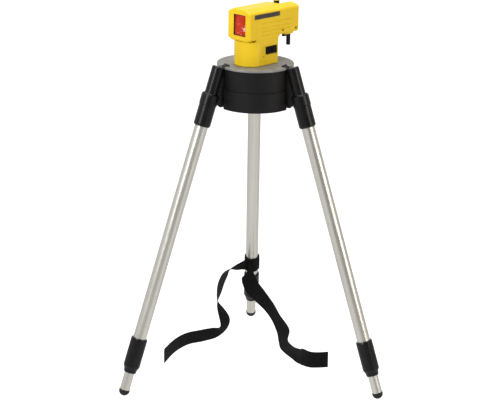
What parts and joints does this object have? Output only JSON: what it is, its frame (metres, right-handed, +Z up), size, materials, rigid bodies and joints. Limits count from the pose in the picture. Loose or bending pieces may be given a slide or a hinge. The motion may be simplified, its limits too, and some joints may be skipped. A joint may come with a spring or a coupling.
{
  "type": "laser level on tripod",
  "caption": "Yellow cross-line laser level with a swivel foot, standing on the round head of a folding tripod with telescopic legs, twist clamps and a webbing strap.",
  "frame": {"origin": "on the floor, under the middle of the whole object's box", "axes": "+Z up, -Y is the front, the third leg points to the back along +Y, the tripod's own axis stands at x = 0, y = -0.0610"},
  "size_m": [0.4408, 0.384, 0.6457],
  "materials": {
    "foot_rubber": "matt",
    "satin_tube": "satin",
    "nylon": "matt",
    "black_plastic": "satin",
    "plate_metal": "satin",
    "cast_core": "cast",
    "steel": "satin",
    "yellow_plastic": "semi-gloss",
    "red_window": "clear red",
    "dark_rubber": "matt",
    "label_film": "satin",
    "board_green": "satin",
    "cell_wrap": "gloss",
    "zinc": "cast",
    "brass": "satin",
    "module_brass": "polished",
    "lens_glass": "clear",
    "webbing": "woven"
  },
  "bodies": {
    "head": {"top_plate": "plate_metal", "upper_housing": "black_plastic", "lower_housing": "black_plastic", "centre_post": "cast_core", "hinge_pins": "steel", "base_screws": "steel", "plate_screws": "steel"},
    "leg_left": {"leg_bracket_left": "black_plastic", "leg_collar_left": "black_plastic", "outer_tube_left": "satin_tube", "tube_end_collet_left": "black_plastic"},
    "grip_left": {"clamp_grip_left": "black_plastic"},
    "foot_left": {"inner_tube_left": "satin_tube", "slide_bush_left": "nylon", "foot_cap_left": "foot_rubber"},
    "leg_right": {"leg_bracket_right": "black_plastic", "leg_collar_right": "black_plastic", "outer_tube_right": "satin_tube", "tube_end_collet_right": "black_plastic"},
    "grip_right": {"clamp_grip_right": "black_plastic"},
    "foot_right": {"inner_tube_right": "satin_tube", "slide_bush_right": "nylon", "foot_cap_right": "foot_rubber"},
    "leg_back": {"leg_bracket_back": "black_plastic", "leg_collar_back": "black_plastic", "outer_tube_back": "satin_tube", "tube_end_collet_back": "black_plastic", "strap_loop": "webbing", "strap_tail_left": "webbing", "strap_tail_right": "webbing"},
    "grip_back": {"clamp_grip_back": "black_plastic"},
    "foot_back": {"inner_tube_back": "satin_tube", "slide_bush_back": "nylon", "foot_cap_back": "foot_rubber"},
    "laser_foot": {"swivel_foot": "black_plastic", "foot_magnets": "steel", "swivel_clip": "steel"},
    "laser_body": {"housing_left": "yellow_plastic", "housing_right": "yellow_plastic", "front_bezel": "yellow_plastic", "window": "red_window", "window_gasket": "dark_rubber", "label_strip": "label_film", "circuit_board": "board_green", "switch_block": "black_plastic", "battery_tray": "black_plastic", "battery_cells": "cell_wrap", "battery_contacts": "steel", "gimbal_bracket": "zinc", "damping_magnet": "steel", "housing_screws": "steel"},
    "battery_door": {"battery_door": "yellow_plastic"},
    "power_switch": {"power_switch": "black_plastic"},
    "mode_button": {"button_stem": "black_plastic", "button_cap": "yellow_plastic"},
    "clamp_lever": {"clamp_lever": "black_plastic"},
    "gimbal": {"gimbal_ring": "zinc"},
    "pendulum": {"pendulum_arm": "brass", "laser_module": "module_brass", "module_lens": "lens_glass"}
  },
  "joints": [
    {"name": "fold_left", "type": "hinge", "parent": "head", "child": "leg_left", "pos_m": [-0.05023, -0.09001, 0.49], "axis": [0.5, -0.866, 0], "range_deg": [0, 22]},
    {"name": "grip_turn_left", "type": "hinge", "parent": "leg_left", "child": "grip_left", "pos_m": [-0.21391, -0.18451, 0], "axis": [0.2695, 0.1556, 0.9504], "range_deg": [0, 90]},
    {"name": "extend_left", "type": "slide", "parent": "leg_left", "child": "foot_left", "axis": [-0.2695, -0.1556, -0.9504], "range_m": [-0.03, 0.3]},
    {"name": "fold_right", "type": "hinge", "parent": "head", "child": "leg_right", "pos_m": [0.05023, -0.09001, 0.49], "axis": [0.5, 0.866, 0], "range_deg": [0, 22]},
    {"name": "grip_turn_right", "type": "hinge", "parent": "leg_right", "child": "grip_right", "pos_m": [0.21391, -0.18451, 0], "axis": [-0.2695, 0.1556, 0.9504], "range_deg": [0, 90]},
    {"name": "extend_right", "type": "slide", "parent": "leg_right", "child": "foot_right", "axis": [0.2695, -0.1556, -0.9504], "range_m": [-0.03, 0.3]},
    {"name": "fold_back", "type": "hinge", "parent": "head", "child": "leg_back", "pos_m": [0, -0.00301, 0.49], "axis": [-1, 0, 0], "range_deg": [0, 22], "deforming": ["strap_tail_left", "strap_tail_right"]},
    {"name": "grip_turn_back", "type": "hinge", "parent": "leg_back", "child": "grip_back", "pos_m": [0, 0.18599, 0], "axis": [0, -0.3112, 0.9504], "range_deg": [0, 90]},
    {"name": "extend_back", "type": "slide", "parent": "leg_back", "child": "foot_back", "axis": [0, 0.3112, -0.9504], "range_m": [-0.03, 0.3]},
    {"name": "laser_lift", "type": "slide", "parent": "head", "child": "laser_foot", "axis": [0, 0, 1], "range_m": [0, 0.12]},
    {"name": "laser_swivel", "type": "hinge", "parent": "laser_foot", "child": "laser_body", "pos_m": [0.001, -0.06101, 0.544], "axis": [0, 0, 1], "continuous": true},
    {"name": "door_hinge", "type": "hinge", "parent": "laser_body", "child": "battery_door", "pos_m": [0.01839, -0.04362, 0.5502], "axis": [-0.7071, 0.7071, 0], "range_deg": [0, 95]},
    {"name": "switch_slide", "type": "slide", "parent": "laser_body", "child": "power_switch", "axis": [-0.7071, -0.7071, 0], "range_m": [0, 0.0094]},
    {"name": "button_press", "type": "slide", "parent": "laser_body", "child": "mode_button", "axis": [0, 0, -1], "range_m": [0, 0.002], "stiffness_N_per_m": 300, "springref_m": -0.002},
    {"name": "lever_turn", "type": "hinge", "parent": "laser_body", "child": "clamp_lever", "pos_m": [0.05368, -0.03096, 0.584], "axis": [0, 0, 1], "range_deg": [0, 90]},
    {"name": "gimbal_pitch", "type": "hinge", "parent": "laser_body", "child": "gimbal", "pos_m": [0.00383, -0.05818, 0.627], "axis": [-0.7071, 0.7071, 0], "range_deg": [-4.5, 4.5]},
    {"name": "pendulum_roll", "type": "hinge", "parent": "gimbal", "child": "pendulum", "pos_m": [0.00383, -0.05818, 0.627], "axis": [0.7071, 0.7071, 0], "range_deg": [-4.5, 4.5]}
  ]
}
